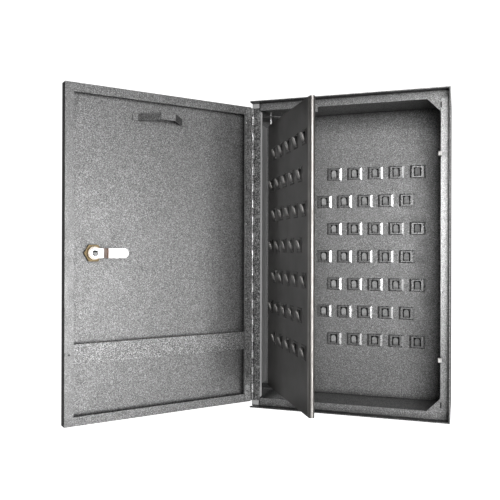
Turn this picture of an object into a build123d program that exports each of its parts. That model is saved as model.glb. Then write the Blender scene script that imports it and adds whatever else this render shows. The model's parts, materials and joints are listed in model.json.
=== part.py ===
from build123d import *
import os

# Wall-hung steel key cabinet. Millimetres, +Z up, +X right, the front faces -Y.
# The origin is the centre of the four wall holes, on the back wall's outer face.
# The door and the swing panel are built shut and then turned to their rest angles.

# Driving dimensions: body
HEIGHT = 500.0
WIDTH = 312.0
FRONT_Y = -136.0          # front face of the inturned flanges
RIM_DEPTH = 12.0          # walls standing forward of the flanges
WALL_T = 1.2
SHEET_T = 1.0
FLANGE_W = 14.0
GUSSET_LEG = 20.0
WALL_HOLE_X = 292.0
WALL_HOLE_Z = 420.0
WALL_HOLE_D = 8.0
ACCESS_D = 13.0           # screw-head holes in the rear hook plate

# Driving dimensions: hinge and door
DOOR_GAP = 5.0            # door's inner plane to the flange plane
DOOR_W = 306.0
DOOR_H = 484.0
DOOR_T = 15.0
DOOR_EDGE_U = 1.2         # hinge axis to the door's hinge-side edge
RETURN_W = 13.0
HINGE_INSET = 1.5         # hinge axis from the left wall's outer face
HINGE_LEN = 480.0
KNUCKLES = 35
KNUCKLE_R = 2.2
KNUCKLE_GAP = 0.3
PIN_R = 1.3
PIN_FIT = 0.05
LEAF_T = 0.8
LEAF_W = 12.5
SCREW_U = 9.0              # hinge axis to the screws
SCREW_R = 1.5
SCREW_HOLE_R = 1.6
SCREW_HEAD_R = 2.5
BODY_SCREW_Z = (-227.5, -185.5, -61.8, 61.8, 185.5, 227.5)
DOOR_SCREW_Z = (-216.5, -197.0, -73.2, 50.6, 174.4, 216.5)
DOOR_OPEN = 130.0

# Driving dimensions: swing panel
PIVOT_X = -133.0
PIVOT_Y = -107.0
PANEL_LEN = 217.5
PANEL_TOP = 215.5
PANEL_BOTTOM = -220.0
PANEL_T = 8.0
PANEL_OPEN = 58.5
TRIM_LEN = 9.0
BUSH_H = 18.0
STRIP_START = 6.0          # end strips begin this far from the pivot line
ROD_R = 1.7

# Driving dimensions: key hooks
HOOK_ROWS = 7
PAD_H = 22.0
PAD_RISE = 1.1
PAD_FLANK_X = 3.4          # run of the sloping sides
PAD_FLANK_Z = 1.6          # run of the sloping ends
REAR_PAD_W = 26.5
REAR_COLUMNS = 5
REAR_PITCH_X = 36.1
REAR_PITCH_Z = 48.8
REAR_TOP_Z = 142.5
REAR_FIRST_X = -43.7
PANEL_PAD_W = 21.0
PANEL_COLUMNS = 5
PANEL_PITCH_U = 37.5
PANEL_PITCH_Z = 49.8
PANEL_TOP_Z = 163.5
PANEL_FIRST_U = 41.8
WINDOW_W = 12.5
WINDOW_H = 15.0
TONGUE_W = 8.0
TONGUE_LEN = 14.5
TONGUE_T = 1.2
TONGUE_TILT = 20.0

# Driving dimensions: cam lock
LOCK_U = 263.0
LOCK_Z = 1.5
LOCK_R = 9.5
LOCK_HEAD_R = 11.5
NUT_FLATS = 24.0
PLUG_R = 6.0
CAM_SQUARE = 7.0           # square on the plug's end
CAM_W = 14.0
CAM_T = 2.0
CAM_LEN = 46.0
CAM_SCREW_R = 1.5
CAM_SCREW_LEN = 8.0

# Driving dimensions: fittings
BUFFER_Z = (-158.0, 152.5)
POCKET_BOTTOM = -155.5
POCKET_TOP = -127.0
KEEPER_BOTTOM = 201.0
KEEPER_TOP = 211.0

# Derived places
LEFT_X = -WIDTH / 2
RIGHT_X = WIDTH / 2
TOP_Z = HEIGHT / 2
RIM_Y = FRONT_Y - RIM_DEPTH
FLANGE_BACK_Y = FRONT_Y + WALL_T
PLATE_Y = -7.0            # front face of the rear hook plate
PLATE_GAP = 0.3           # plate's edges to the side, top and bottom walls
AXIS_X = LEFT_X + HINGE_INSET
AXIS_Y = FRONT_Y - DOOR_GAP / 2
DOOR_IN_Y = FRONT_Y - DOOR_GAP
DOOR_OUT_Y = DOOR_IN_Y - DOOR_T
DOOR_X0 = AXIS_X + DOOR_EDGE_U
DOOR_X1 = DOOR_X0 + DOOR_W
SKIN_IN_Y = DOOR_OUT_Y + SHEET_T
SCREW_X = AXIS_X + SCREW_U
LOCK_X = AXIS_X + LOCK_U
CAM_BASE_Y = DOOR_IN_Y - 4.2
PANEL_FRONT_Y = PIVOT_Y - PANEL_T / 2
PANEL_BACK_Y = PIVOT_Y + PANEL_T / 2
BRACKET_TOP = 227.5        # underside of the upper bracket
BRACKET_BOTTOM = -221.8    # upper face of the lower bracket
BRACKET_T = 2.0


def span(x0, x1, y0, y1, z0, z1):
    """Box given by its two corners."""
    centre = ((x0 + x1) / 2, (y0 + y1) / 2, (z0 + z1) / 2)
    return Pos(*centre) * Box(abs(x1 - x0), abs(y1 - y0), abs(z1 - z0))


def rod_z(radius, x, y, z0, z1):
    """Round bar along Z."""
    return Pos(x, y, (z0 + z1) / 2) * Cylinder(radius, abs(z1 - z0))


def rod_y(radius, x, z, y0, y1):
    """Round bar along Y."""
    return Pos(x, (y0 + y1) / 2, z) * Rot(X=90) * Cylinder(radius, abs(y1 - y0))


def prism_z(points, z0, z1):
    """Upright prism from an outline in plan."""
    face = make_face(Polyline(*points, close=True))
    return Pos(0, 0, z0) * extrude(face, z1 - z0)


def plate_y(points, y0, y1):
    """Plate from an outline in X and Z, between two depths."""
    face = make_face(Polyline(*[(x, 0, z) for x, z in points], close=True))
    return Pos(0, y0, 0) * extrude(face, y1 - y0, dir=(0, 1, 0))


def turned(shape, angle, x, y):
    """Shape turned about the vertical line through x, y."""
    return Pos(x, y, 0) * Rot(Z=angle) * Pos(-x, -y, 0) * shape


def on_door(shape):
    """Closed-door shape at the door's rest angle."""
    return turned(shape, -DOOR_OPEN, AXIS_X, AXIS_Y)


def on_panel(shape):
    """Closed-panel shape at the panel's rest angle."""
    return turned(shape, -PANEL_OPEN, PIVOT_X, PIVOT_Y)


def fused(shapes):
    """One solid from shapes that meet."""
    first = shapes[0]
    return first.fuse(*shapes[1:]) if len(shapes) > 1 else first


# ---------------------------------------------------------------- body shell

def end_wall(side):
    """Top (side 1) or bottom (side -1) wall, full width, out to the rim."""
    z_out = side * TOP_Z
    return span(LEFT_X, RIGHT_X, RIM_Y, 0, z_out, z_out - side * WALL_T)


def left_wall():
    inner = TOP_Z - WALL_T
    return span(LEFT_X, LEFT_X + WALL_T, FLANGE_BACK_Y, 0, -inner, inner)


def right_wall():
    inner = TOP_Z - WALL_T
    return span(RIGHT_X - WALL_T, RIGHT_X, RIM_Y, 0, -inner, inner)


def wall_hole_places():
    return [(x * WALL_HOLE_X / 2, z * WALL_HOLE_Z / 2) for x in (-1, 1) for z in (-1, 1)]


def back_wall():
    inner_z = TOP_Z - WALL_T
    plate = span(LEFT_X + WALL_T, RIGHT_X - WALL_T, -WALL_T, 0, -inner_z, inner_z)
    for x, z in wall_hole_places():
        plate -= rod_y(WALL_HOLE_D / 2, x, z, -WALL_T - 1, 1)
    return plate


def rim_hem(side):
    """Folded-back sheet that doubles the top or bottom rim."""
    z_out = side * (TOP_Z - WALL_T)
    return span(LEFT_X, RIGHT_X - WALL_T, RIM_Y, FRONT_Y, z_out, z_out - side * WALL_T)


def rim_hem_right():
    inner = TOP_Z - 2 * WALL_T
    return span(RIGHT_X - 2 * WALL_T, RIGHT_X - WALL_T, RIM_Y, FRONT_Y, -inner, inner)


def end_flange(side):
    """Inturned front flange at the top or bottom; it stops short of the hinge post."""
    z_out = side * (TOP_Z - WALL_T)
    z_in = side * (TOP_Z - FLANGE_W)
    return span(LEFT_X + FLANGE_W, RIGHT_X - WALL_T, FRONT_Y, FLANGE_BACK_Y, z_out, z_in)


def right_flange():
    inner = TOP_Z - FLANGE_W
    return span(RIGHT_X - FLANGE_W, RIGHT_X - WALL_T, FRONT_Y, FLANGE_BACK_Y, -inner, inner)


def corner_gusset(side):
    """Three-cornered stiffening plate in the right-hand corner of the flanges."""
    x = RIGHT_X - FLANGE_W
    z = side * (TOP_Z - FLANGE_W)
    outline = [(x, z), (x - GUSSET_LEG, z), (x, z - side * GUSSET_LEG)]
    return plate_y(outline, FRONT_Y, FLANGE_BACK_Y)


def hinge_post():
    """Left front flange, narrowed at its ends, with a lip bent back into the box."""
    narrow = LEFT_X + 11.7
    wide = LEFT_X + 16.8
    step_z = 232.0
    chamfer_z = 236.6
    end_z = TOP_Z - WALL_T
    lip_z = 212.0
    lip_depth = 28.0
    outline = [
        (LEFT_X, -end_z), (narrow, -end_z), (narrow, -chamfer_z), (wide, -step_z),
        (wide, step_z), (narrow, chamfer_z), (narrow, end_z), (LEFT_X, end_z),
    ]
    flange = plate_y(outline, FRONT_Y, FLANGE_BACK_Y)
    lip = span(wide - WALL_T, wide, FRONT_Y, FRONT_Y + lip_depth, -lip_z, lip_z)
    return flange + lip


def top_tab():
    """Small tab hanging from the top flange, its lower edge cut on a slant."""
    z = TOP_Z - FLANGE_W
    left = LEFT_X + 90.0
    right = LEFT_X + 109.5
    outline = [(left, z), (right, z), (right, z - 9.0), (left, z - 4.0)]
    return plate_y(outline, FRONT_Y, FLANGE_BACK_Y)


def door_buffers():
    """Two soft blocks pushed over the inner edge of the right flange."""
    edge = RIGHT_X - FLANGE_W
    half = 3.0
    proud = 4.2
    blocks = []
    for z in BUFFER_Z:
        block = span(edge - 3.5, edge + 2.0, FRONT_Y - proud, FLANGE_BACK_Y + 1.0, z - half, z + half)
        block -= span(edge, edge + 5.0, FRONT_Y, FLANGE_BACK_Y, z - half - 1, z + half + 1)
        blocks.append(block)
    return Compound(children=blocks)


# ---------------------------------------------------------------- piano hinge

def knuckle_spans(first):
    """Heights of every other knuckle; first 0 is the body's, 1 the door's."""
    pitch = HINGE_LEN / KNUCKLES
    spans = []
    for i in range(first, KNUCKLES, 2):
        z0 = -HINGE_LEN / 2 + i * pitch
        spans.append((z0 + KNUCKLE_GAP / 2, z0 + pitch - KNUCKLE_GAP / 2))
    return spans


def hinge_leaf(first, y0, y1, screw_heights):
    """Leaf lying between depths y0 and y1, with its rolled knuckles."""
    root_x = AXIS_X + KNUCKLE_R + KNUCKLE_GAP
    tip_x = AXIS_X + LEAF_W
    leaf = span(root_x, tip_x, y0, y1, -HINGE_LEN / 2, HINGE_LEN / 2)
    pieces = [leaf]
    bore = rod_z(PIN_R + PIN_FIT, AXIS_X, AXIS_Y, -HINGE_LEN, HINGE_LEN)
    for z0, z1 in knuckle_spans(first):
        roll = rod_z(KNUCKLE_R, AXIS_X, AXIS_Y, z0, z1)
        web = span(AXIS_X, root_x, y0, y1, z0, z1)
        pieces.append(roll + web - bore)
    whole = fused(pieces)
    for z in screw_heights:
        whole -= rod_y(SCREW_HOLE_R, SCREW_X, z, y0 - 1, y1 + 1)
    return whole


def body_leaf():
    return hinge_leaf(0, FRONT_Y - LEAF_T, FRONT_Y, BODY_SCREW_Z)


def door_leaf():
    return hinge_leaf(1, DOOR_IN_Y, DOOR_IN_Y + LEAF_T, DOOR_SCREW_Z)


def hinge_pin():
    return rod_z(PIN_R, AXIS_X, AXIS_Y, -HINGE_LEN / 2, HINGE_LEN / 2)


def hinge_screws(face_y, into, heights):
    """Small dome-headed screws; 'into' is +1 or -1, the way the shank points."""
    head_t = 0.9
    screws = []
    for z in heights:
        head = rod_y(SCREW_HEAD_R, SCREW_X, z, face_y, face_y - into * head_t)
        shank = rod_y(SCREW_R, SCREW_X, z, face_y, face_y + into * (LEAF_T + SHEET_T))
        screws.append(head + shank)
    return Compound(children=screws)


def screw_holes(plate, heights, y0, y1):
    for z in heights:
        plate -= rod_y(SCREW_HOLE_R, SCREW_X, z, y0, y1)
    return plate


# ---------------------------------------------------------------- key hooks

def window_cut(x, z, y0, y1):
    return span(x - WINDOW_W / 2, x + WINDOW_W / 2, y0, y1, z - WINDOW_H / 2, z + WINDOW_H / 2)


def hook(pad_w):
    """Pad and tongue of one hook, on a sheet whose face is y = 0; the hook stands towards -Y.

    The raised pad has a window, and the tongue is bent up and outward from its lower edge.
    """
    foot = Rot(X=90) * Rectangle(pad_w, PAD_H)
    crown = Rot(X=90) * Rectangle(pad_w - 2 * PAD_FLANK_X, PAD_H - 2 * PAD_FLANK_Z)
    pad = loft(Sketch() + [foot, Pos(0, -PAD_RISE, 0) * crown])
    pad -= window_cut(0, 0, -PAD_RISE - 1, 1)
    half = TONGUE_W / 2
    shoulder = TONGUE_LEN - half
    root = half + 1.0
    root_z = -2.0
    base = Polyline((-half, 0, 0), (-root, 0, root_z), (root, 0, root_z), (half, 0, 0), (half, 0, shoulder))
    cap = ThreePointArc((half, 0, shoulder), (0, 0, TONGUE_LEN), (-half, 0, shoulder))
    side = Line((-half, 0, shoulder), (-half, 0, 0))
    tongue = extrude(make_face(Curve() + [base, cap, side]), TONGUE_T, dir=(0, 1, 0))
    tongue = Pos(0, -PAD_RISE, -WINDOW_H / 2) * Rot(X=TONGUE_TILT) * tongue
    behind = span(-pad_w, pad_w, 0, 5.0, -PAD_H, PAD_H)
    return pad, tongue - pad - behind


def hook_places(row, columns, first, pitch):
    """Horizontal places of one row; every other row is shifted by half a pitch."""
    offset = -pitch / 2 if row % 2 else 0.0
    return [first + offset + i * pitch for i in range(columns)]


def rear_places(row):
    return hook_places(row, REAR_COLUMNS, REAR_FIRST_X, REAR_PITCH_X)


def panel_places(row):
    return hook_places(row, PANEL_COLUMNS, PANEL_FIRST_U, PANEL_PITCH_U)


def rear_row_z(row):
    return REAR_TOP_Z - row * REAR_PITCH_Z


def panel_row_z(row):
    return PANEL_TOP_Z - row * PANEL_PITCH_Z


def rear_hook_plate():
    """Perforated plate carrying the rear hooks; wall screws pass through its corner holes."""
    half_x = RIGHT_X - WALL_T - PLATE_GAP
    half_z = TOP_Z - WALL_T - PLATE_GAP
    behind = PLATE_Y + SHEET_T
    plate = span(-half_x, half_x, PLATE_Y, behind, -half_z, half_z)
    cuts = []
    for row in range(HOOK_ROWS):
        for x in rear_places(row):
            cuts.append(window_cut(x, rear_row_z(row), PLATE_Y - 1, behind + 1))
    for x, z in wall_hole_places():
        cuts.append(rod_y(ACCESS_D / 2, x, z, PLATE_Y - 1, behind + 1))
    return plate.cut(*cuts)


def rear_plate_edges():
    """Turned-back edges that stand the plate off the back wall."""
    half_x = RIGHT_X - WALL_T - PLATE_GAP
    half_z = TOP_Z - WALL_T - PLATE_GAP
    y0, y1 = PLATE_Y + SHEET_T, -WALL_T
    edges = []
    for side in (-1, 1):
        edges.append(span(-half_x, half_x, y0, y1, side * half_z, side * (half_z - SHEET_T)))
        upright_z = half_z - SHEET_T
        edges.append(span(side * half_x, side * (half_x - SHEET_T), y0, y1, -upright_z, upright_z))
    return Compound(children=edges)


def rear_hook_row(row, pattern):
    places = [Pos(x, PLATE_Y, rear_row_z(row)) for x in rear_places(row)]
    return Compound(children=[at * piece for at in places for piece in pattern])


def panel_hook_row(row, pattern):
    places = [Pos(PIVOT_X + u, PANEL_FRONT_Y, panel_row_z(row)) for u in panel_places(row)]
    return Compound(children=[on_panel(at * piece) for at in places for piece in pattern])


def panel_rear_hooks(pattern):
    hooks = []
    for row in range(HOOK_ROWS):
        for u in panel_places(row):
            at = Pos(PIVOT_X + u, PANEL_BACK_Y, panel_row_z(row)) * Rot(Z=180)
            hooks += [on_panel(at * piece) for piece in pattern]
    return Compound(children=hooks)


# ---------------------------------------------------------------- swing panel

def panel_windows(y0, y1):
    cuts = []
    for row in range(HOOK_ROWS):
        for u in panel_places(row):
            cuts.append(window_cut(PIVOT_X + u, panel_row_z(row), y0, y1))
    return cuts


def panel_sheet(y0, y1):
    """Windowed sheet between two depths, butted against the pivot sleeve."""
    end = PIVOT_X + PANEL_LEN - TRIM_LEN
    sheet = span(PIVOT_X + 1.0, end, y0, y1, PANEL_BOTTOM, PANEL_TOP)
    sheet -= rod_z(PANEL_T / 2, PIVOT_X, PIVOT_Y, -HEIGHT, HEIGHT)
    return on_panel(sheet.cut(*panel_windows(y0 - 1, y1 + 1)))


def panel_end_strips():
    """Narrow strips that close the panel at its top and bottom."""
    start = PIVOT_X + STRIP_START
    end = PIVOT_X + PANEL_LEN - TRIM_LEN
    y0, y1 = PANEL_FRONT_Y + SHEET_T, PANEL_BACK_Y - SHEET_T
    strips = []
    for z, inward in ((PANEL_TOP, -SHEET_T), (PANEL_BOTTOM, SHEET_T)):
        strips.append(on_panel(span(start, end, y0, y1, z, z + inward)))
    return Compound(children=strips)


def panel_sleeve():
    """Tube round the pivot line that both sheets are joined to."""
    tube = rod_z(PANEL_T / 2, PIVOT_X, PIVOT_Y, PANEL_BOTTOM, PANEL_TOP)
    return on_panel(tube - rod_z(PANEL_T / 2 - SHEET_T, PIVOT_X, PIVOT_Y, -HEIGHT, HEIGHT))


def panel_edge_trim():
    """Round-nosed metal profile closing the free edge."""
    z0, z1 = PANEL_BOTTOM, PANEL_TOP
    start = PIVOT_X + PANEL_LEN - TRIM_LEN
    nose_r = PANEL_T / 2
    nose_x = PIVOT_X + PANEL_LEN - nose_r
    body = span(start, nose_x, PANEL_FRONT_Y, PANEL_BACK_Y, z0, z1) + rod_z(nose_r, nose_x, PIVOT_Y, z0, z1)
    hollow = span(start - 1, nose_x, PANEL_FRONT_Y + WALL_T, PANEL_BACK_Y - WALL_T, z0, z1)
    return on_panel(body - hollow)


def pivot_bushes():
    """Plain bushes held in both ends of the sleeve."""
    bushes = []
    for z0, z1 in ((PANEL_BOTTOM, PANEL_BOTTOM + BUSH_H), (PANEL_TOP - BUSH_H, PANEL_TOP)):
        bush = rod_z(PANEL_T / 2 - SHEET_T, PIVOT_X, PIVOT_Y, z0, z1)
        bush -= rod_z(ROD_R + PIN_FIT, PIVOT_X, PIVOT_Y, -HEIGHT, HEIGHT)
        bushes.append(on_panel(bush))
    return Compound(children=bushes)


def pivot_rod():
    """Steel rod through both brackets and the whole height of the panel."""
    z0 = BRACKET_BOTTOM - BRACKET_T - 3.0
    z1 = BRACKET_TOP + BRACKET_T + 8.5
    return rod_z(ROD_R, PIVOT_X, PIVOT_Y, z0, z1)


def pivot_bracket(side):
    """Angle bracket on the left wall: a level plate for the rod and an upright tab."""
    wall = LEFT_X + WALL_T
    reach = PIVOT_X + 22.0
    front = FRONT_Y + 16.0
    back = FRONT_Y + 52.0
    corner = 9.0
    tab = 18.0
    outline = [
        (wall, front), (reach - corner - 3.0, front), (reach, front + corner),
        (reach, back - corner), (reach - corner, back), (wall, back),
    ]
    z = BRACKET_TOP if side > 0 else BRACKET_BOTTOM
    level = prism_z(outline, min(z, z + side * BRACKET_T), max(z, z + side * BRACKET_T))
    upright = span(wall, wall + BRACKET_T, front, back, z, z + side * tab)
    plate = level + upright
    return plate - rod_z(ROD_R, PIVOT_X, PIVOT_Y, -HEIGHT, HEIGHT)


def panel_seat():
    """Thrust washer on the rod; it carries the panel above the bottom bracket."""
    z0 = BRACKET_BOTTOM
    z1 = PANEL_BOTTOM - 0.3
    return rod_z(PANEL_T / 2, PIVOT_X, PIVOT_Y, z0, z1) - rod_z(ROD_R, PIVOT_X, PIVOT_Y, z0 - 1, z1 + 1)


# ---------------------------------------------------------------- door

def door_skin():
    """Flat outer sheet with the lock's hole."""
    z = DOOR_H / 2
    sheet = span(DOOR_X0, DOOR_X1, DOOR_OUT_Y, SKIN_IN_Y, -z, z)
    sheet -= rod_y(LOCK_R, LOCK_X, LOCK_Z, DOOR_OUT_Y - 1, SKIN_IN_Y + 1)
    return on_door(sheet)


def door_stile(side):
    """Upright edge of the door: side wall and inner return; side -1 is the hinge side."""
    z = DOOR_H / 2
    x_out = DOOR_X0 if side < 0 else DOOR_X1
    x_wall = x_out - side * SHEET_T
    wall = span(x_out, x_wall, SKIN_IN_Y, DOOR_IN_Y, -z, z)
    inner = span(x_wall, x_out - side * RETURN_W, DOOR_IN_Y - SHEET_T, DOOR_IN_Y, -z, z)
    if side < 0:
        inner = screw_holes(inner, DOOR_SCREW_Z, DOOR_IN_Y - 2, DOOR_IN_Y + 1)
    return Compound(children=[on_door(wall), on_door(inner)])


def door_rail(side):
    """Top or bottom edge of the door, fitted between the stiles."""
    z_out = side * DOOR_H / 2
    wall = span(DOOR_X0 + SHEET_T, DOOR_X1 - SHEET_T, SKIN_IN_Y, DOOR_IN_Y - SHEET_T,
                z_out, z_out - side * SHEET_T)
    inner = span(DOOR_X0 + RETURN_W, DOOR_X1 - RETURN_W, DOOR_IN_Y - SHEET_T, DOOR_IN_Y,
                 z_out, z_out - side * RETURN_W)
    return Compound(children=[on_door(wall), on_door(inner)])


def pocket_strip():
    """Strip across the door behind the returns; papers stand between it and the skin."""
    lap = 8.0
    x0 = DOOR_X0 + RETURN_W - lap
    x1 = DOOR_X1 - RETURN_W + lap
    front = DOOR_IN_Y - SHEET_T
    strip = span(x0, x1, front - SHEET_T, front, POCKET_BOTTOM, POCKET_TOP)
    hem_depth = 2.5
    hem_x0 = DOOR_X0 + RETURN_W + 1.0
    hem_x1 = DOOR_X1 - RETURN_W - 1.0
    for z in (POCKET_BOTTOM, POCKET_TOP - SHEET_T):
        strip += span(hem_x0, hem_x1, front - hem_depth, front, z, z + SHEET_T)
    return on_door(strip)


def panel_keeper():
    """Bent strip on the door that stands off and holds the panel in when shut."""
    foot_a = AXIS_X + 112.0
    foot_b = AXIS_X + 203.0
    foot = 9.0
    rise = 30.0
    top_a = foot_a + 33.5
    top_b = foot_b - 34.0
    base = SKIN_IN_Y
    t = 1.6
    outer = [
        (foot_a, base), (foot_a, base + t), (foot_a + foot, base + t), (top_a, base + rise),
        (top_b, base + rise), (foot_b - foot, base + t), (foot_b, base + t), (foot_b, base),
        (foot_b - foot - 1.0, base), (top_b - 1.0, base + rise - t), (top_a + 1.0, base + rise - t),
        (foot_a + foot + 1.0, base),
    ]
    return on_door(prism_z(outer, KEEPER_BOTTOM, KEEPER_TOP))


# ---------------------------------------------------------------- cam lock

def lock_body():
    """Fixed housing: round head outside, barrel through the skin, bored for the plug."""
    head_t = 3.0
    head = rod_y(LOCK_HEAD_R, LOCK_X, LOCK_Z, DOOR_OUT_Y - head_t, DOOR_OUT_Y)
    head = fillet(head.edges().group_by(Axis.Y)[0], head_t / 2)
    barrel = rod_y(LOCK_R, LOCK_X, LOCK_Z, DOOR_OUT_Y, DOOR_IN_Y - 4.5)
    body = head + barrel
    body -= rod_y(PLUG_R + PIN_FIT, LOCK_X, LOCK_Z, DOOR_OUT_Y - 5.0, DOOR_IN_Y)
    return on_door(body)


def lock_nut():
    thick = 4.5
    hexagon = extrude(RegularPolygon(NUT_FLATS / 2, 6, major_radius=False), thick)
    nut = hexagon - Cylinder(LOCK_R, 3 * thick)
    return on_door(Pos(LOCK_X, SKIN_IN_Y + thick, LOCK_Z) * Rot(X=90) * nut)


def lock_plug():
    """Turning core with a keyway in its outer face and a square end for the cam."""
    outer = DOOR_OUT_Y - 3.6
    half = CAM_SQUARE / 2
    keyway_half_w = 1.0
    keyway_half_h = 4.0
    keyway_depth = 8.0
    plug = rod_y(PLUG_R, LOCK_X, LOCK_Z, outer, CAM_BASE_Y)
    plug += span(LOCK_X - half, LOCK_X + half, CAM_BASE_Y, CAM_BASE_Y + CAM_T, LOCK_Z - half, LOCK_Z + half)
    plug -= span(LOCK_X - keyway_half_w, LOCK_X + keyway_half_w, outer - 1, outer + keyway_depth,
                 LOCK_Z - keyway_half_h, LOCK_Z + keyway_half_h)
    seat = CAM_BASE_Y + CAM_T
    plug -= rod_y(CAM_SCREW_R, LOCK_X, LOCK_Z, seat - CAM_SCREW_LEN, seat + 1)
    return on_door(plug)


def lock_cam():
    """Stepped cam, drawn unlocked: it points from the lock back towards the hinge."""
    tip_y = FLANGE_BACK_Y + 0.7
    r = CAM_W / 2
    tip_x = LOCK_X - CAM_LEN
    step_a, step_b = 13.0, 16.5
    nose = 4.0
    profile = [
        (LOCK_X + r, CAM_BASE_Y), (LOCK_X + r, CAM_BASE_Y + CAM_T),
        (LOCK_X - step_a, CAM_BASE_Y + CAM_T), (LOCK_X - step_b + CAM_T, tip_y + CAM_T),
        (tip_x, tip_y + CAM_T), (tip_x, tip_y),
        (LOCK_X - step_b, tip_y), (LOCK_X - step_a - CAM_T, CAM_BASE_Y),
    ]
    blank = prism_z(profile, LOCK_Z - r, LOCK_Z + r)
    near, far = CAM_BASE_Y - 1, tip_y + CAM_T + 1
    outline = plate_y([
        (LOCK_X, LOCK_Z + r), (tip_x + nose, LOCK_Z + r), (tip_x, LOCK_Z + r - nose),
        (tip_x, LOCK_Z - r + nose), (tip_x + nose, LOCK_Z - r), (LOCK_X, LOCK_Z - r),
    ], near, far)
    outline += rod_y(r, LOCK_X, LOCK_Z, near, far)
    cam = blank & outline
    half = CAM_SQUARE / 2 + PIN_FIT
    cam -= span(LOCK_X - half, LOCK_X + half, near, CAM_BASE_Y + CAM_T + 1, LOCK_Z - half, LOCK_Z + half)
    return on_door(cam)


def cam_screw():
    """Pan-head screw with a cross recess, through the cam into the plug."""
    seat = CAM_BASE_Y + CAM_T
    head_r = 4.3
    head_t = 2.8
    recess_floor = seat + 1.2
    head = rod_y(head_r, LOCK_X, LOCK_Z, seat, seat + head_t)
    head = fillet(head.edges().group_by(Axis.Y)[-1], head_t / 2)
    screw = head + rod_y(CAM_SCREW_R, LOCK_X, LOCK_Z, seat - CAM_SCREW_LEN, seat)
    for wide, high in ((5.0, 1.1), (1.1, 5.0)):
        screw -= span(LOCK_X - wide / 2, LOCK_X + wide / 2, recess_floor, seat + head_t + 1,
                      LOCK_Z - high / 2, LOCK_Z + high / 2)
    return on_door(screw)


# ---------------------------------------------------------------- assembly

def build_nodes():
    rear_pattern = hook(REAR_PAD_W)
    panel_pattern = hook(PANEL_PAD_W)
    post = screw_holes(hinge_post(), BODY_SCREW_Z, FRONT_Y - 1, FLANGE_BACK_Y + 0.5)
    nodes = {
        "top_wall": end_wall(1),
        "bottom_wall": end_wall(-1),
        "left_wall": left_wall(),
        "right_wall": right_wall(),
        "back_wall": back_wall(),
        "rim_hem_top": rim_hem(1),
        "rim_hem_bottom": rim_hem(-1),
        "rim_hem_right": rim_hem_right(),
        "front_flange_top": end_flange(1),
        "front_flange_bottom": end_flange(-1),
        "front_flange_right": right_flange(),
        "corner_gusset_top": corner_gusset(1),
        "corner_gusset_bottom": corner_gusset(-1),
        "hinge_post": post,
        "top_tab": top_tab(),
        "door_buffers": door_buffers(),
        "hinge_leaf_body": body_leaf(),
        "hinge_pin": hinge_pin(),
        "hinge_screws_body": hinge_screws(FRONT_Y - LEAF_T, 1, BODY_SCREW_Z),
        "rear_hook_plate": rear_hook_plate(),
        "rear_plate_edges": rear_plate_edges(),
        "pivot_bracket_top": pivot_bracket(1),
        "pivot_bracket_bottom": pivot_bracket(-1),
        "panel_pivot_rod": pivot_rod(),
        "panel_seat_collar": panel_seat(),
        "panel_front_sheet": panel_sheet(PANEL_FRONT_Y, PANEL_FRONT_Y + SHEET_T),
        "panel_back_sheet": panel_sheet(PANEL_BACK_Y - SHEET_T, PANEL_BACK_Y),
        "panel_end_strips": panel_end_strips(),
        "panel_pivot_sleeve": panel_sleeve(),
        "panel_edge_trim": panel_edge_trim(),
        "panel_pivot_bushes": pivot_bushes(),
        "panel_rear_hooks": panel_rear_hooks(panel_pattern),
        "door_skin": door_skin(),
        "door_stile_hinge": door_stile(-1),
        "door_stile_lock": door_stile(1),
        "door_rail_top": door_rail(1),
        "door_rail_bottom": door_rail(-1),
        "hinge_leaf_door": on_door(door_leaf()),
        "hinge_screws_door": on_door(hinge_screws(DOOR_IN_Y + LEAF_T, -1, DOOR_SCREW_Z)),
        "document_pocket_strip": pocket_strip(),
        "panel_keeper": panel_keeper(),
        "lock_body": lock_body(),
        "lock_nut": lock_nut(),
        "lock_plug": lock_plug(),
        "lock_cam": lock_cam(),
        "cam_screw": cam_screw(),
    }
    for row in range(HOOK_ROWS):
        nodes[f"rear_hook_row_{row + 1}"] = rear_hook_row(row, rear_pattern)
        nodes[f"panel_hook_row_{row + 1}"] = panel_hook_row(row, panel_pattern)
    return nodes


os.makedirs("parts", exist_ok=True)
for name, shape in build_nodes().items():
    export_step(shape, f"parts/{name}.step")
    print(name, round(shape.volume, 1))
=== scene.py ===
import json
import math

import bmesh
import bpy
from mathutils import Matrix, Vector


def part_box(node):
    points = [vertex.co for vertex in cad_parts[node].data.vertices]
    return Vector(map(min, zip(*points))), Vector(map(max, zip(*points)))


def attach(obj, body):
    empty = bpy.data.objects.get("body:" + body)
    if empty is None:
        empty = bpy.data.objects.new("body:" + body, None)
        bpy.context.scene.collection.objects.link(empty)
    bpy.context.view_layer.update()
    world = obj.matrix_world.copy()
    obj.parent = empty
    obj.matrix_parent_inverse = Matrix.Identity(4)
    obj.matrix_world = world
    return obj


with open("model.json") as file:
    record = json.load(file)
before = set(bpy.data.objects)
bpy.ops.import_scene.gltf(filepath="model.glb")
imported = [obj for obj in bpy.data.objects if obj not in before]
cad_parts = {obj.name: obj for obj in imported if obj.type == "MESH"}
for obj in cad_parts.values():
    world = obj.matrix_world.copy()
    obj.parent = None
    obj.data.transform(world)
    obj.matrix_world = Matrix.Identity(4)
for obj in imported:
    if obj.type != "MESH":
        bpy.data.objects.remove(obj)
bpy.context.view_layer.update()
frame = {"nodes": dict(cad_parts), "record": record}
nodes = frame["nodes"]

MM = 0.001


# ------------------------------------------------------------------ shader helpers

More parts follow.
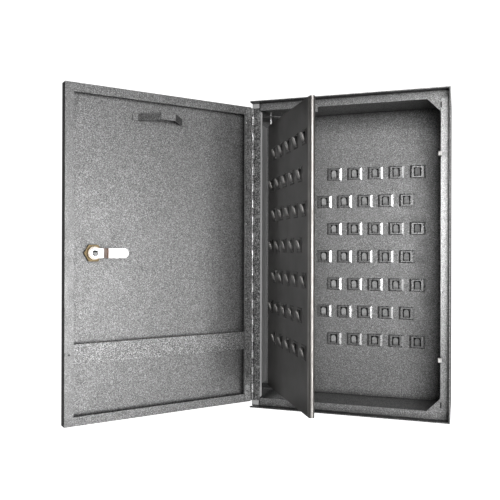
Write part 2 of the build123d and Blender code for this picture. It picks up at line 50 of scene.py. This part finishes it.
class Shader:
    """One material and short calls for its nodes."""

    def __init__(self, name):
        self.material = bpy.data.materials.new(name)
        self.material.use_nodes = True
        self.tree = self.material.node_tree
        self.bsdf = self.tree.nodes["Principled BSDF"]
        self.place = self.node("ShaderNodeTexCoord").outputs["Object"]

    def node(self, kind, **settings):
        made = self.tree.nodes.new(kind)
        for key, value in settings.items():
            setattr(made, key, value)
        return made

    def link(self, source, target):
        self.tree.links.new(source, target)

    def feed(self, socket, value):
        """Links an output, or sets a constant."""
        if isinstance(value, bpy.types.NodeSocket):
            self.link(value, socket)
        else:
            socket.default_value = value

    def stretched(self, x, y, z):
        """Object coordinates, scaled along the three axes."""
        mapping = self.node("ShaderNodeMapping")
        self.link(self.place, mapping.inputs["Vector"])
        mapping.inputs["Scale"].default_value = (x, y, z)
        return mapping.outputs["Vector"]

    def along(self, direction, origin=(0.0, 0.0, 0.0)):
        """Distance in metres from origin along a direction."""
        offset = self.node("ShaderNodeVectorMath", operation="SUBTRACT")
        self.link(self.place, offset.inputs[0])
        offset.inputs[1].default_value = origin
        dot = self.node("ShaderNodeVectorMath", operation="DOT_PRODUCT")
        self.link(offset.outputs[0], dot.inputs[0])
        dot.inputs[1].default_value = direction
        return dot.outputs["Value"]

    def corner_shade(self, distance):
        """Painted shade: 1 in the open, falling towards 0 in corners and under overhangs."""
        made = self.node("ShaderNodeAmbientOcclusion", samples=8)
        made.inputs["Distance"].default_value = distance
        return made.outputs["AO"]

    def noise(self, scale, detail=3.0, rough=0.5, vector=None):
        made = self.node("ShaderNodeTexNoise")
        self.link(vector or self.place, made.inputs["Vector"])
        made.inputs["Scale"].default_value = scale
        made.inputs["Detail"].default_value = detail
        made.inputs["Roughness"].default_value = rough
        return made.outputs["Fac"]

    def cells(self, scale, vector, feature="F1"):
        made = self.node("ShaderNodeTexVoronoi", feature=feature)
        self.link(vector, made.inputs["Vector"])
        made.inputs["Scale"].default_value = scale
        if feature == "SMOOTH_F1":
            made.inputs["Smoothness"].default_value = 0.4
        return made

    def math(self, operation, a, b):
        made = self.node("ShaderNodeMath", operation=operation)
        self.feed(made.inputs[0], a)
        self.feed(made.inputs[1], b)
        return made.outputs[0]

    def remap(self, value, low, high, to_low=0.0, to_high=1.0):
        made = self.node("ShaderNodeMapRange", clamp=True)
        self.feed(made.inputs["Value"], value)
        made.inputs["From Min"].default_value = low
        made.inputs["From Max"].default_value = high
        made.inputs["To Min"].default_value = to_low
        made.inputs["To Max"].default_value = to_high
        return made.outputs["Result"]

    def mix(self, factor, a, b):
        """Colour mix; a and b are colours or outputs."""
        made = self.node("ShaderNodeMix", data_type="RGBA")
        self.feed(made.inputs[0], factor)
        self.feed(made.inputs[6], a if isinstance(a, bpy.types.NodeSocket) else (*a, 1.0))
        self.feed(made.inputs[7], b if isinstance(b, bpy.types.NodeSocket) else (*b, 1.0))
        return made.outputs[2]

    def bump(self, height, strength, distance, under=None):
        made = self.node("ShaderNodeBump")
        made.inputs["Strength"].default_value = strength
        made.inputs["Distance"].default_value = distance
        self.link(height, made.inputs["Height"])
        if under is not None:
            self.link(under, made.inputs["Normal"])
        return made.outputs["Normal"]

    def finish(self, color, roughness, metallic, normal=None, coat=0.0, coat_rough=0.2):
        self.feed(self.bsdf.inputs["Base Color"], color)
        self.feed(self.bsdf.inputs["Roughness"], roughness)
        self.feed(self.bsdf.inputs["Metallic"], metallic)
        self.bsdf.inputs["Coat Weight"].default_value = coat
        self.bsdf.inputs["Coat Roughness"].default_value = coat_rough
        if normal is not None:
            self.link(normal, self.bsdf.inputs["Normal"])
        return self.material


def grey(level, warmth=0.0):
    """Linear grey; positive warmth leans to brown."""
    return (level * (1.0 + warmth), level, level * (1.0 - warmth))


# ------------------------------------------------------------------ materials

def hammertone(name, base, dark, light, cell=1.45, relief=0.55, rough=0.48, painted_shade_span=None):
    """Hammered enamel: small domed cells with darker veins between them and aluminium flecks.

    cell is the size of a cell in mm. The last argument is a stretch (from, to) of Y, in metres,
    over which the paint turns near black: painted shade, for the back wall's inner face.
    """
    s = Shader(name)
    warped = s.node("ShaderNodeVectorMath", operation="MULTIPLY_ADD")
    s.link(s.noise(300.0, 2.0), warped.inputs[0])
    warped.inputs[1].default_value = (0.0011, 0.0011, 0.0011)
    s.link(s.place, warped.inputs[2])
    place = warped.outputs[0]
    dome = s.cells(1.0 / (cell * MM), place, "SMOOTH_F1")
    fine = s.cells(1.0 / (cell * 0.6 * MM), place)
    fleck = s.node("ShaderNodeSeparateColor")
    s.link(fine.outputs["Color"], fleck.inputs[0])
    vein = s.remap(dome.outputs["Distance"], 0.25, 0.62)
    color = s.mix(vein, base, dark)
    color = s.mix(s.remap(fleck.outputs[0], 0.55, 1.0, 0.0, 0.75), color, light)
    color = s.mix(s.remap(fleck.outputs[2], 0.0, 0.32, 0.8, 0.0), color, dark)
    color = s.mix(s.remap(s.noise(7.0, 3.0), 0.35, 0.7, 0.0, 0.10), color, dark)
    if painted_shade_span:
        # Painted shade: near black behind the hook plate, seen dark through the hook windows.
        inside_shade = s.remap(s.along((0.0, 1.0, 0.0)), painted_shade_span[0], painted_shade_span[1], 1.0, 0.0)
        color = s.mix(inside_shade, color, grey(0.02))
    # Painted shade: the paint darkens towards near black in corners and under overhangs.
    color = s.mix(s.remap(s.corner_shade(16.0 * MM), 0.30, 0.85, 0.85, 0.0), color, grey(0.015))
    height = s.math("SUBTRACT", 1.0, dome.outputs["Distance"])
    normal = s.bump(height, relief, 0.00032)
    normal = s.bump(s.noise(900.0, 2.0), 0.12, 0.0002, normal)
    roughness = s.remap(s.noise(60.0, 4.0), 0.3, 0.7, rough - 0.06, rough + 0.06)
    return s.finish(color, roughness, 0.80, normal, coat=0.20, coat_rough=0.25)


def smooth_enamel(name, base, dark):
    """Smooth satin paint with faint roller lines, cloudiness and dust."""
    s = Shader(name)
    lines = s.noise(60.0, 4.0, 0.6, vector=s.stretched(1.0, 1.0, 0.05))
    cloud = s.noise(14.0, 4.0, 0.55)
    dust = s.noise(700.0, 2.0, 0.7)
    color = s.mix(s.remap(lines, 0.35, 0.7, 0.0, 0.5), base, dark)
    color = s.mix(s.remap(cloud, 0.4, 0.75, 0.0, 0.4), color, dark)
    pale = tuple(min(1.0, channel * 1.9) for channel in base)
    color = s.mix(s.remap(dust, 0.62, 0.82, 0.0, 0.25), color, pale)
    normal = s.bump(s.noise(420.0, 3.0), 0.10, 0.0002)
    normal = s.bump(cloud, 0.10, 0.001, normal)
    roughness = s.remap(cloud, 0.3, 0.7, 0.36, 0.50)
    return s.finish(color, roughness, 0.15, normal, coat=0.10, coat_rough=0.3)


def hook_enamel(name, base, dark, tongue_highlight, outward, face, tip, rough):
    """Paint on a pressed hook, stretched smooth, with a painted highlight: the tongue, which stands
    out towards the light, is painted lighter.

    outward is the hook's direction. face and tip are the depths along it where the painted
    highlight starts and where it is full.
    """
    s = Shader(name)
    grime = s.noise(240.0, 4.0, 0.6)
    color = s.mix(s.remap(grime, 0.40, 0.75, 0.0, 0.6), base, dark)
    # Painted highlight: the tongue is painted lighter, patchily, towards its tip.
    highlit = s.remap(s.along(outward), face, tip)
    patchy_highlight = s.math("MULTIPLY", highlit, s.remap(s.noise(330.0, 3.0), 0.30, 0.55, 0.55, 1.0))
    color = s.mix(patchy_highlight, color, tongue_highlight)
    normal = s.bump(s.noise(700.0, 3.0), 0.20, 0.0002)
    roughness = s.remap(grime, 0.3, 0.7, rough - 0.05, rough + 0.08)
    metallic = s.remap(highlit, 0.0, 1.0, 0.80, 0.25)
    return s.finish(color, roughness, metallic, normal, coat=0.15, coat_rough=0.2)


def cam_plating(name, base, tarnish, pivot, direction, band):
    """Bright plating on the cam, with heat-browned metal where it is joggled.

    band is the stretch (from, to) that is browned, in metres from pivot along direction.
    """
    s = Shader(name)
    lines = s.noise(700.0, 3.0, 0.6, vector=s.stretched(0.1, 0.1, 1.0))
    color = s.mix(s.remap(lines, 0.35, 0.7, 0.0, 0.3), base, grey(0.62, 0.03))
    reach = s.along(direction, pivot)
    inner = s.remap(reach, band[0] - 1.0 * MM, band[0] + 1.0 * MM)
    outer = s.remap(reach, band[1] - 1.0 * MM, band[1] + 1.0 * MM, 1.0, 0.0)
    color = s.mix(s.math("MULTIPLY", inner, outer), color, tarnish)
    normal = s.bump(lines, 0.10, 0.0001)
    return s.finish(color, s.remap(s.noise(90.0, 3.0), 0.3, 0.7, 0.24, 0.34), 0.9, normal)


def recessed_screw(name, bright, shade, centre, radius):
    """Cross-head screw with painted shade: near black over the upper part of its dome, bright below.
    """
    s = Shader(name)
    # Painted shade over the upper part of the dome.
    upper_shade = s.remap(s.along((0.0, 0.0, 1.0), centre), 0.05 * radius, 0.45 * radius)
    wear = s.noise(500.0, 3.0)
    color = s.mix(upper_shade, s.mix(s.remap(wear, 0.35, 0.7), bright, grey(0.12)), shade)
    normal = s.bump(wear, 0.15, 0.0002)
    return s.finish(color, s.remap(wear, 0.3, 0.7, 0.25, 0.40), 0.9, normal)


def drawn_metal(name, base, dark, rough, grain=(1.0, 1.0, 0.02)):
    """Bare or plated metal with tarnish, fine pits and, where grain is drawn out, drawing lines."""
    s = Shader(name)
    lines = s.noise(900.0, 3.0, 0.6, vector=s.stretched(*grain))
    tarnish = s.noise(45.0, 4.0, 0.6)
    color = s.mix(s.remap(lines, 0.35, 0.7, 0.0, 0.45), base, dark)
    color = s.mix(s.remap(tarnish, 0.45, 0.75, 0.0, 0.5), color, dark)
    normal = s.bump(lines, 0.14, 0.0001)
    normal = s.bump(s.noise(2600.0, 2.0), 0.06, 0.00005, normal)
    roughness = s.remap(tarnish, 0.3, 0.75, rough - 0.05, rough + 0.12)
    return s.finish(color, roughness, 1.0, normal)


def soft_plastic(name, base, dark):
    """Moulded plastic with fine grain and grime."""
    s = Shader(name)
    grime = s.noise(160.0, 4.0, 0.6)
    color = s.mix(s.remap(grime, 0.45, 0.75, 0.0, 0.6), base, dark)
    normal = s.bump(s.noise(1500.0, 2.0), 0.15, 0.0001)
    return s.finish(color, s.remap(grime, 0.3, 0.7, 0.45, 0.6), 0.0, normal)


def turned(direction, degrees):
    """Direction in plan, turned about the vertical."""
    return Matrix.Rotation(math.radians(degrees), 3, "Z") @ Vector(direction)


# ------------------------------------------------------------------ places on the object

DOOR_REST = -130.0                  # degrees from shut
PANEL_REST = -58.5                  # degrees from folded in
PLATE_DEPTH = 7.0 * MM              # hook plate's face, in front of the back wall's outer face
PANEL_HALF_THICKNESS = 4.0 * MM
SCREW_DOME_R = 4.3 * MM
CAM_JOGGLE = (12.5 * MM, 16.5 * MM)     # stretch of the cam, from the lock's centre
WELD_ALONG = 300.7 * MM             # weld's place on the door, from the hinge's pin
WELD_BEHIND = 2.5 * MM

joints = {joint["name"]: joint for joint in frame["record"]["behaviour"]["joints"]}
pin = Vector(joints["door_hinge"]["pos_m"])
lock_centre = tuple(joints["lock_turn"]["pos_m"])
panel_out = turned((0.0, -1.0, 0.0), PANEL_REST)
panel_depth = Vector(joints["panel_pivot"]["pos_m"]).dot(panel_out) + PANEL_HALF_THICKNESS
door_along = turned((1.0, 0.0, 0.0), DOOR_REST)
door_inward = turned((0.0, 1.0, 0.0), DOOR_REST)


# ------------------------------------------------------------------ what each node is made of

PAINT = {"base": grey(0.30), "dark": grey(0.13), "light": grey(0.56)}
EVEN = (1.0, 1.0, 1.0)              # grain with no direction

materials = {
    "hammer_paint": hammertone("hammertone_enamel", **PAINT),
    "panel_paint": smooth_enamel("panel_satin_enamel", grey(0.070, 0.04), grey(0.048, 0.03)),
    "bracket_paint": smooth_enamel("bracket_enamel", grey(0.055), grey(0.035)),
    "edge_trim": drawn_metal("drawn_trim", grey(0.34, 0.04), grey(0.22, 0.05), 0.42),
    "hinge_steel": hammertone("painted_hinge", grey(0.24), grey(0.06), grey(0.60), 2.2),
    "bright_steel": drawn_metal("bright_rod", grey(0.60), grey(0.32), 0.28),
    "screw_steel": drawn_metal("screw_plating", grey(0.80), grey(0.35), 0.28, EVEN),
    "cam_chrome": cam_plating(
        "nickel_cam", grey(0.78), (0.045, 0.017, 0.005), lock_centre, -door_along, CAM_JOGGLE,
    ),
    "lock_chrome": drawn_metal("lock_plating", grey(0.30, 0.12), grey(0.12, 0.2), 0.30, EVEN),
    "nut_plating": drawn_metal(
        "passivated_zinc", (0.15, 0.115, 0.065), (0.05, 0.035, 0.018), 0.36, EVEN,
    ),
    "buffer_plastic": soft_plastic("buffer_plastic", grey(0.62, 0.02), grey(0.4, 0.05)),
}

# The third colour is the painted highlight on the tongues.
rear_hooks = hook_enamel(
    "rear_hook_enamel", grey(0.34), grey(0.20), grey(0.52), (0.0, -1.0, 0.0),
    PLATE_DEPTH + 1.3 * MM, PLATE_DEPTH + 2.6 * MM, 0.27,
)
panel_hooks = hook_enamel(
    "panel_hook_enamel", grey(0.055, 0.04), grey(0.035, 0.03), grey(0.42, 0.03), tuple(panel_out),
    panel_depth + 1.3 * MM, panel_depth + 3.0 * MM, 0.30,
)
# Painted shade: a slightly darker, smoother copy of the hammertone for the door's stiles.
shaded_return_paint = hammertone("shaded_return_enamel", grey(0.28), grey(0.16), grey(0.42), relief=0.35)
# Painted shade: a near-black copy of the hammertone for the rim hems, which sit in shade beside the
# flanges.
hem_shade_paint = hammertone("hem_shade_enamel", grey(0.05), grey(0.02), grey(0.10))

# Nodes whose finish differs from their slot's.
own_finish = {
    # The rim hems wear the painted shade.
    "rim_hem_top": hem_shade_paint,
    "rim_hem_right": hem_shade_paint,
    "rim_hem_bottom": hem_shade_paint,
    "door_stile_hinge": shaded_return_paint,
    "door_stile_lock": shaded_return_paint,
    # Painted light: a lighter copy of the hammertone, with stronger flecks, for the pocket strip.
    "document_pocket_strip": hammertone(
        "lit_strip_enamel", grey(0.35), grey(0.10), grey(0.78), relief=0.60,
    ),
    # Painted highlight: a lighter, smoother copy of the hammertone for the right flange, which catches
    # the light.
    "front_flange_right": hammertone(
        "lit_flange_enamel", grey(0.44), grey(0.24), grey(0.70), relief=0.22, rough=0.33,
    ),
    # Painted shade: the back wall's inner face is painted near black.
    "back_wall": hammertone("back_enamel", **PAINT, painted_shade_span=(-0.9 * MM, -0.3 * MM)),
    "hinge_leaf_door": hammertone(
        "plated_hinge", grey(0.62), grey(0.20), grey(0.85), 2.2, rough=0.36,
    ),
    "cam_screw": recessed_screw(
        "cross_head_screw", grey(0.24), grey(0.010), lock_centre, SCREW_DOME_R,
    ),
    "hinge_post": smooth_enamel("post_enamel", grey(0.42), grey(0.33)),
}
for node in nodes:
    if node.startswith("rear_hook_row"):
        own_finish[node] = rear_hooks
    if node.startswith("panel_hook_row"):
        own_finish[node] = panel_hooks

# Rounding in mm of the edges of a slot's nodes, so that they catch the light.
EDGE_RADIUS = {
    "hammer_paint": 0.4,
    "lock_chrome": 0.3,
    "cam_chrome": 0.5,
    "nut_plating": 0.6,
    "buffer_plastic": 0.6,
    "screw_steel": 0.6,
}


def dress(obj, material):
    obj.data.materials.clear()
    obj.data.materials.append(material)


def soften(obj, width):
    """Rounds edges that turn by more than 35 degrees."""
    bevel = obj.modifiers.new("soft_edges", "BEVEL")
    bevel.width = width
    bevel.segments = 2
    bevel.limit_method = "ANGLE"
    bevel.angle_limit = math.radians(35.0)
    bevel.use_clamp_overlap = True


for part in frame["record"]["subparts"]:
    name, slot = part["node"], part["material_slot"]
    dress(nodes[name], own_finish.get(name, materials[slot]))
    if slot in EDGE_RADIUS and "hook" not in name:
        soften(nodes[name], EDGE_RADIUS[slot] * MM)


# ------------------------------------------------------------------ pressed and welded marks

mark_paint = smooth_enamel("mark_enamel", grey(0.030), grey(0.012))
# A mark's cross-section from its foot inwards: share of the half width, and height in mm.
MARK_PROFILE = ((1.0, 0.0), (0.85, 0.26), (0.66, 0.22), (0.50, 0.05))
MARK_STEPS = 24
SEAM_INSET = 0.4 * MM               # gusset seam's centre line, past the flange's inner edge


def pressed_mark(name, centre, outward, length, width, body):
    """Shallow upright oblong on a sheet: a raised lip round a dark, sunken floor."""
    lengthwise, outward = Vector((0, 0, 1)), Vector(outward)
    across = outward.cross(lengthwise)
    slide = (length - width) / 2
    build = bmesh.new()
    rings = []
    for share, height in MARK_PROFILE:
        ring = []
        for i in range(MARK_STEPS):
            angle = math.tau * (i + 0.5) / MARK_STEPS
            up = math.sin(angle)
            place = across * (math.cos(angle) * share * width / 2)
            place += lengthwise * (up * share * width / 2 + math.copysign(slide, up))
            ring.append(build.verts.new(Vector(centre) + place + outward * (height * MM)))
        rings.append(ring)
    for lower, upper in zip(rings, rings[1:]):
        for i in range(MARK_STEPS):
            j = (i + 1) % MARK_STEPS
            build.faces.new((lower[i], lower[j], upper[j], upper[i]))
    build.faces.new(rings[-1])
    mesh = bpy.data.meshes.new(name)
    bmesh.ops.recalc_face_normals(build, faces=build.faces)
    build.to_mesh(mesh)
    build.free()
    mark = bpy.data.objects.new(name, mesh)
    bpy.context.collection.objects.link(mark)
    dress(mark, mark_paint)
    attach(mark, body)


flange_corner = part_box("front_flange_right")[0]
for end in ("top", "bottom"):
    gusset_low, gusset_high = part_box("corner_gusset_" + end)
    seam = (flange_corner[0] + SEAM_INSET, flange_corner[1], (gusset_low[2] + gusset_high[2]) / 2)
    pressed_mark("gusset_seam_" + end, seam, (0, -1, 0), 9.0 * MM, 2.2 * MM, "cabinet")

strip_low, strip_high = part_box("document_pocket_strip")
weld = pin + door_along * WELD_ALONG - door_inward * WELD_BEHIND
weld.z = (strip_low[2] + strip_high[2]) / 2
pressed_mark("strip_spot_weld", weld, door_inward, 2.8 * MM, 2.6 * MM, "door")


# ------------------------------------------------------------------ studio

FRONT_LIGHT = {
    "place": (0.72, -2.10, 0.20), "target": (0.02, -0.05, 0.0), "size": (1.05, 0.85), "watts": 7.0,
}
RIGHT_LIGHT = {
    "place": (1.34, -1.29, -0.20), "target": (-0.25, -0.26, -0.02), "size": (0.56, 0.90), "watts": 3.0,
}
BACK_LIGHT = {
    "place": (-0.70, 2.00, 0.70), "target": (-0.10, -0.10, 0.0), "size": (1.20, 1.20), "watts": 14.0,
}
AMBIENT = 0.07                      # world light on the object
BACKDROP = 1.2                      # world and floor as the camera sees them
FLOOR_Z = -0.9

CAMERA_PLACE = (0.166, -1.1273, 0.0049)
CAMERA_TURN = 18.19                 # degrees about the vertical
CAMERA_TILT = 90.109                # degrees, 90 looks level
CAMERA_ROLL = 0.157
SENSOR_MM = 36.0
LENS_MM = 45.468


def add_light(name, place, target, size, watts):
    """Soft rectangular light that shines from place towards target."""
    data = bpy.data.lights.new(name, "AREA")
    data.shape = "RECTANGLE"
    data.size, data.size_y = size
    data.energy = watts
    data.spread = math.radians(75.0)
    lamp = bpy.data.objects.new(name, data)
    bpy.context.collection.objects.link(lamp)
    lamp.location = place
    lamp.rotation_euler = (Vector(target) - Vector(place)).to_track_quat("-Z", "Y").to_euler()


def add_floor():
    """Pale floor; it reads pure white to the camera, like the backdrop."""
    mesh = bpy.data.meshes.new("studio_floor")
    build = bmesh.new()
    bmesh.ops.create_grid(build, x_segments=4, y_segments=4, size=6.0)
    build.to_mesh(mesh)
    build.free()
    floor = bpy.data.objects.new("studio_floor", mesh)
    bpy.context.collection.objects.link(floor)
    floor.location = (0.0, 0.0, FLOOR_Z)
    s = Shader("pale_floor")
    color = s.mix(s.remap(s.noise(3.0), 0.3, 0.7), (0.62, 0.62, 0.62), (0.68, 0.68, 0.68))
    s.finish(color, 0.8, 0.0)
    path = s.node("ShaderNodeLightPath")
    s.bsdf.inputs["Emission Color"].default_value = (1.0, 1.0, 1.0, 1.0)
    glow = s.remap(path.outputs["Is Camera Ray"], 0.0, 1.0, 0.05, BACKDROP)
    s.link(glow, s.bsdf.inputs["Emission Strength"])
    dress(floor, s.material)


def add_world():
    """White studio: the backdrop reads pure white, and its light on the object is softer."""
    world = bpy.data.worlds.new("studio")
    bpy.context.scene.world = world
    world.use_nodes = True
    tree = world.node_tree
    back = tree.nodes["Background"]
    back.inputs["Color"].default_value = (1.0, 1.0, 1.0, 1.0)
    path = tree.nodes.new("ShaderNodeLightPath")
    level = tree.nodes.new("ShaderNodeMapRange")
    tree.links.new(path.outputs["Is Camera Ray"], level.inputs["Value"])
    level.inputs["To Min"].default_value = AMBIENT
    level.inputs["To Max"].default_value = BACKDROP
    tree.links.new(level.outputs["Result"], back.inputs["Strength"])


def add_camera():
    """Camera at the photo's viewing angle."""
    data = bpy.data.cameras.new("camera")
    data.sensor_width = SENSOR_MM
    data.lens = LENS_MM
    data.clip_start = 0.05
    camera = bpy.data.objects.new("camera", data)
    bpy.context.collection.objects.link(camera)
    turn = Matrix.Rotation(math.radians(CAMERA_TURN), 4, "Z")
    tilt = Matrix.Rotation(math.radians(CAMERA_TILT), 4, "X")
    roll = Matrix.Rotation(math.radians(CAMERA_ROLL), 4, "Z")
    camera.matrix_world = Matrix.Translation(CAMERA_PLACE) @ turn @ tilt @ roll
    bpy.context.scene.camera = camera


add_world()
add_floor()
add_light("front_softbox", **FRONT_LIGHT)
add_light("right_softbox", **RIGHT_LIGHT)
add_light("back_softbox", **BACK_LIGHT)
add_camera()
bpy.context.scene.view_settings.view_transform = "Standard"
